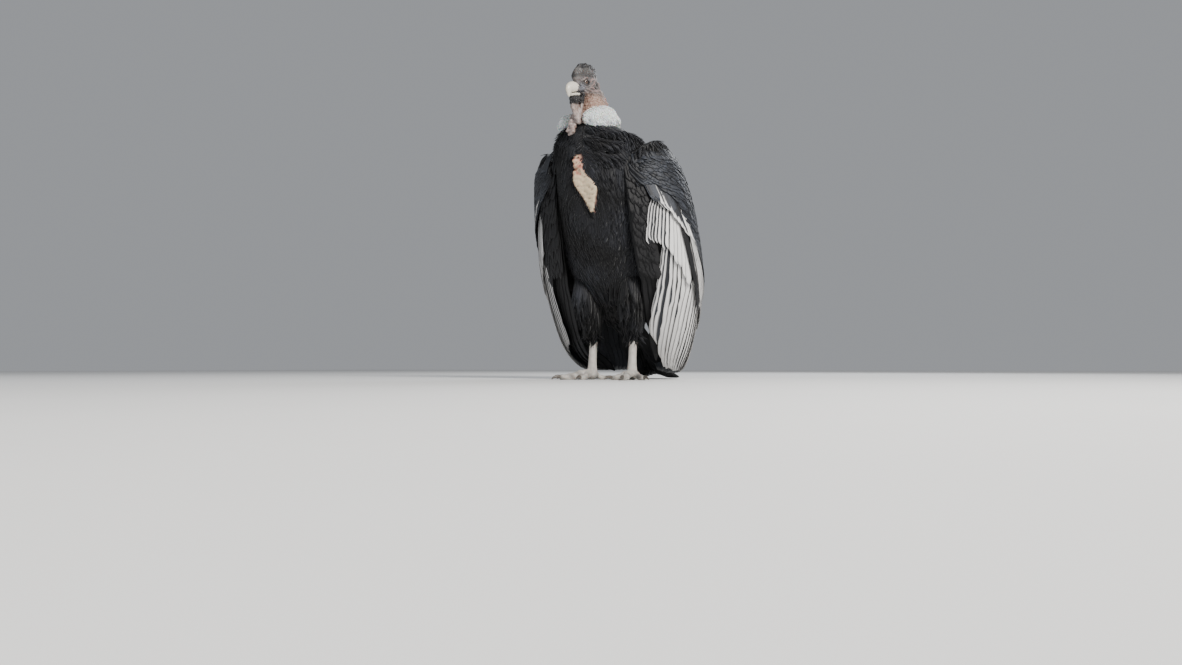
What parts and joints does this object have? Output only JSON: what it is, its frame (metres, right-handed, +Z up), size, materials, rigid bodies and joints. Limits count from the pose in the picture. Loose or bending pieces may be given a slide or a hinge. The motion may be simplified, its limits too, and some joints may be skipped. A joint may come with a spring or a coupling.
{
  "type": "andean condor",
  "caption": "Life-size still model of a standing adult male condor with drooped wings, bare combed head and white ruff.",
  "frame": {"origin": "centre of the bird's footprint box, on the floor", "axes": "+Z up, the bird faces -Y, its left side is +X"},
  "size_m": [0.5586, 0.6618, 0.9306],
  "materials": {
    "plumage": "matt black feathers with a faint blue-grey sheen",
    "silver_plumage": "silvery white feathers, slightly worn",
    "down": "soft white down",
    "neck_skin": "bare wrinkled skin, pinkish brown fading to grey",
    "crop_skin": "bare creased skin, cream to pale ochre",
    "face_skin": "bare leathery skin, dark grey",
    "comb_skin": "bare leathery skin, grey-brown with a dark rim",
    "bill_horn": "smooth ivory horn",
    "iris": "wet dark brown",
    "leg_skin": "scaly skin, chalky grey",
    "claw_horn": "smooth dark horn"
  },
  "bodies": {
    "root": {"torso": "plumage", "crop_skin": "crop_skin", "neck": "neck_skin", "ruff": "down", "head": "face_skin", "bill_upper": "bill_horn", "bill_lower": "bill_horn", "comb": "comb_skin", "eye_left": "iris", "eye_right": "iris", "wing_left_forearm": "plumage", "wing_left_shoulder": "plumage", "wing_left_secondaries": "silver_plumage", "wing_left_tertials": "plumage", "wing_left_primaries": "plumage", "thigh_left": "plumage", "tarsus_left": "leg_skin", "foot_left": "leg_skin", "claw_left_inner": "claw_horn", "claw_left_middle": "claw_horn", "claw_left_outer": "claw_horn", "claw_left_hind": "claw_horn", "wing_right_forearm": "plumage", "wing_right_shoulder": "plumage", "wing_right_secondaries": "silver_plumage", "wing_right_tertials": "plumage", "wing_right_primaries": "plumage", "thigh_right": "plumage", "tarsus_right": "leg_skin", "foot_right": "leg_skin", "claw_right_inner": "claw_horn", "claw_right_middle": "claw_horn", "claw_right_outer": "claw_horn", "claw_right_hind": "claw_horn", "tail": "plumage"}
  },
  "joints": []
}
